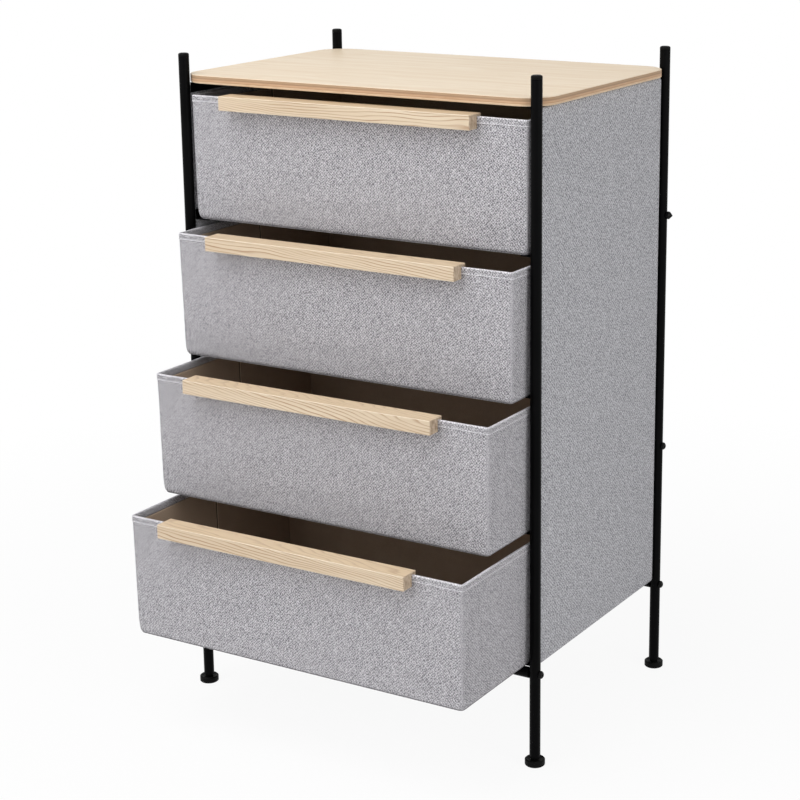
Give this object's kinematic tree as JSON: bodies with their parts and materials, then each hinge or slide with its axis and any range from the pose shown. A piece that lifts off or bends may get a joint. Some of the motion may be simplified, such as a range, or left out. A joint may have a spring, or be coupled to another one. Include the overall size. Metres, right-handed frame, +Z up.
{
  "type": "fabric drawer dresser",
  "caption": "Open steel-tube dresser with a plywood top, fabric side panels and soft fabric drawers that slide on steel angles and open by wooden edge grips.",
  "frame": {"origin": "on the floor, under the middle of the whole outline with the drawers open as stored", "axes": "+Z up, +X to the right seen from the front, -Y the way that the drawers open"},
  "size_m": [0.6266, 0.6248, 1],
  "materials": {
    "frame_steel": "satin black powder coat",
    "screw_steel": "black oxide, slightly glossy",
    "black_plastic": "moulded, fine grain",
    "plywood": "pale clear lacquer",
    "grip_wood": "bare, sanded",
    "drawer_fabric": "grey mottled linen weave",
    "panel_fabric": "grey mottled linen weave",
    "lining_fabric": "thin non-woven taupe cloth"
  },
  "bodies": {
    "frame": {"post_front_left": "frame_steel", "post_cap_front_left": "black_plastic", "foot_insert_front_left": "black_plastic", "post_front_right": "frame_steel", "post_cap_front_right": "black_plastic", "foot_insert_front_right": "black_plastic", "post_rear_left": "frame_steel", "post_cap_rear_left": "black_plastic", "foot_insert_rear_left": "black_plastic", "post_rear_right": "frame_steel", "post_cap_rear_right": "black_plastic", "foot_insert_rear_right": "black_plastic", "rail_bottom_front": "frame_steel", "rail_bottom_rear": "frame_steel", "rail_middle_rear": "frame_steel", "rail_upper_rear": "frame_steel", "screw_bottom_front_left": "screw_steel", "screw_bottom_front_right": "screw_steel", "screw_bottom_rear_left": "screw_steel", "screw_bottom_rear_right": "screw_steel", "screw_middle_rear_left": "screw_steel", "screw_middle_rear_right": "screw_steel", "screw_upper_rear_left": "screw_steel", "screw_upper_rear_right": "screw_steel", "top_angle_left": "frame_steel", "runner_1_left": "frame_steel", "runner_2_left": "frame_steel", "runner_3_left": "frame_steel", "runner_4_left": "frame_steel", "side_panel_left": "panel_fabric", "top_angle_right": "frame_steel", "runner_1_right": "frame_steel", "runner_2_right": "frame_steel", "runner_3_right": "frame_steel", "runner_4_right": "frame_steel", "side_panel_right": "panel_fabric", "top_board": "plywood"},
    "foot_front_left_body": {"foot_front_left": "black_plastic"},
    "foot_front_right_body": {"foot_front_right": "black_plastic"},
    "foot_rear_left_body": {"foot_rear_left": "black_plastic"},
    "foot_rear_right_body": {"foot_rear_right": "black_plastic"},
    "drawer_1": {"drawer_1_cover": "drawer_fabric", "drawer_1_lining": "lining_fabric", "drawer_1_base_board": "lining_fabric", "drawer_1_grip": "grip_wood"},
    "drawer_2": {"drawer_2_cover": "drawer_fabric", "drawer_2_lining": "lining_fabric", "drawer_2_base_board": "lining_fabric", "drawer_2_grip": "grip_wood"},
    "drawer_3": {"drawer_3_cover": "drawer_fabric", "drawer_3_lining": "lining_fabric", "drawer_3_base_board": "lining_fabric", "drawer_3_grip": "grip_wood"},
    "drawer_4": {"drawer_4_cover": "drawer_fabric", "drawer_4_lining": "lining_fabric", "drawer_4_base_board": "lining_fabric", "drawer_4_grip": "grip_wood"}
  },
  "joints": [
    {"name": "drawer_1_slide", "type": "slide", "parent": "frame", "child": "drawer_1", "axis": [0, -1, 0], "range_m": [0, 0.26]},
    {"name": "drawer_2_slide", "type": "slide", "parent": "frame", "child": "drawer_2", "axis": [0, -1, 0], "range_m": [-0.044, 0.216]},
    {"name": "drawer_3_slide", "type": "slide", "parent": "frame", "child": "drawer_3", "axis": [0, -1, 0], "range_m": [-0.11, 0.15]},
    {"name": "drawer_4_slide", "type": "slide", "parent": "frame", "child": "drawer_4", "axis": [0, -1, 0], "range_m": [-0.182, 0.078]},
    {"name": "foot_front_left_thread", "type": "slide", "parent": "frame", "child": "foot_front_left_body", "axis": [0, 0, -1], "range_m": [0, 0.008]},
    {"name": "foot_front_right_thread", "type": "slide", "parent": "frame", "child": "foot_front_right_body", "axis": [0, 0, -1], "range_m": [0, 0.008]},
    {"name": "foot_rear_left_thread", "type": "slide", "parent": "frame", "child": "foot_rear_left_body", "axis": [0, 0, -1], "range_m": [0, 0.008]},
    {"name": "foot_rear_right_thread", "type": "slide", "parent": "frame", "child": "foot_rear_right_body", "axis": [0, 0, -1], "range_m": [0, 0.008]}
  ]
}
